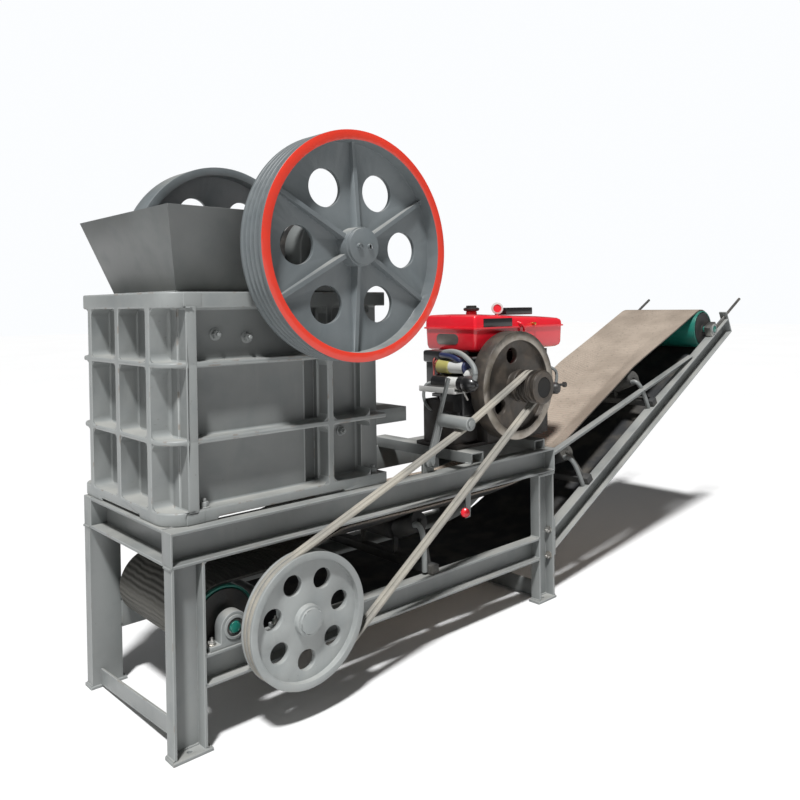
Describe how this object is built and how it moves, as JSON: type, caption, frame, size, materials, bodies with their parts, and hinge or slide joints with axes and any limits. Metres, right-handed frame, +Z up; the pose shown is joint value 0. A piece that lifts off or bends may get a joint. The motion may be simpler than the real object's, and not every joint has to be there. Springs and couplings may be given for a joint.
{
  "type": "mobile jaw crusher line",
  "caption": "Jaw crusher with twin flywheels and feed hopper on a steel frame, driven by a diesel engine, with a belt conveyor rising from under the discharge.",
  "frame": {"origin": "middle of the machine's bounding box at ground level", "axes": "+X along the machine towards the conveyor head, +Y towards the side away from the engine pulley, +Z up"},
  "size_m": [3.7014, 1.052, 1.871],
  "materials": {
    "crusher_paint": "satin grey paint on casting and plate",
    "frame_paint": "satin grey paint on rolled channel",
    "manganese_steel": "dark cast steel",
    "bare_steel": "machined steel",
    "engine_black": "black engine paint",
    "engine_iron": "oiled cast iron with turned rim",
    "tank_red": "glossy red paint",
    "belt_cord": "dusty pale rubber",
    "belt_rubber": "dusty tan rubber",
    "drum_green": "teal green paint"
  },
  "bodies": {
    "frame": {"conveyor_belt": "belt_rubber", "counter_bearings": "frame_paint", "drive_belts": "belt_cord", "engine_bearers": "frame_paint", "engine_block": "engine_black", "far_bearing": "crusher_paint", "far_conveyor_rail": "frame_paint", "far_front_leg": "frame_paint", "far_lower_rail": "frame_paint", "far_rear_leg": "frame_paint", "far_side_wall": "crusher_paint", "far_take_up": "bare_steel", "far_top_rail": "frame_paint", "feed_hopper": "crusher_paint", "fixed_jaw": "manganese_steel", "front_cross_beam": "frame_paint", "front_wall": "crusher_paint", "fuel_tank": "tank_red", "ground_tie": "frame_paint", "idlers": "drum_green", "middle_cross_beam": "frame_paint", "moving_jaw": "manganese_steel", "near_bearing": "crusher_paint", "near_conveyor_rail": "frame_paint", "near_front_leg": "frame_paint", "near_lower_rail": "frame_paint", "near_rear_leg": "frame_paint", "near_side_wall": "crusher_paint", "near_take_up": "bare_steel", "near_top_rail": "frame_paint", "rear_cross_beam": "frame_paint", "rear_ground_tie": "frame_paint", "rear_wall": "crusher_paint", "starter_motor": "engine_black", "tail_bearings": "frame_paint", "tension_rod": "bare_steel", "tensioner_lug": "frame_paint", "toggle_plate": "manganese_steel"},
    "crusher_rotor": {"crusher_shaft": "bare_steel", "near_flywheel": "crusher_paint", "far_flywheel": "crusher_paint"},
    "engine_rotor": {"engine_flywheel": "engine_iron"},
    "countershaft": {"drive_pulley": "frame_paint"},
    "tail_roller": {"tail_drum": "drum_green"},
    "head_roller": {"head_drum": "drum_green"},
    "belt_lever": {"tensioner_arm": "frame_paint"},
    "lever_roller": {"tensioner_roller": "frame_paint"}
  },
  "joints": [
    {"name": "crusher_spin", "type": "hinge", "parent": "frame", "child": "crusher_rotor", "pos_m": [-1.23474, 0, 1.495], "axis": [0, 1, 0], "continuous": true},
    {"name": "engine_spin", "type": "hinge", "parent": "frame", "child": "engine_rotor", "pos_m": [-0.30574, -0.353, 0.96], "axis": [0, 1, 0], "continuous": true},
    {"name": "drive_spin", "type": "hinge", "parent": "frame", "child": "countershaft", "pos_m": [-1.43824, -0.098, 0.325], "axis": [0, 1, 0], "continuous": true},
    {"name": "tail_spin", "type": "hinge", "parent": "frame", "child": "tail_roller", "pos_m": [-1.64574, -0.048, 0.34], "axis": [0, 1, 0], "continuous": true},
    {"name": "head_spin", "type": "hinge", "parent": "frame", "child": "head_roller", "pos_m": [1.46944, -0.048, 1.14001], "axis": [0, 1, 0], "continuous": true},
    {"name": "lever_swing", "type": "hinge", "parent": "frame", "child": "belt_lever", "pos_m": [-0.78874, -0.348, 0.704], "axis": [0, 1, 0], "range_deg": [-35, 0]},
    {"name": "roller_spin", "type": "hinge", "parent": "belt_lever", "child": "lever_roller", "pos_m": [-0.73174, -0.428, 0.858], "axis": [0, 1, 0], "continuous": true}
  ],
  "couplings": [
    {"joint": "drive_spin", "follows": "engine_spin", "ratio": 0.30244},
    {"joint": "head_spin", "follows": "tail_spin", "ratio": 1}
  ]
}
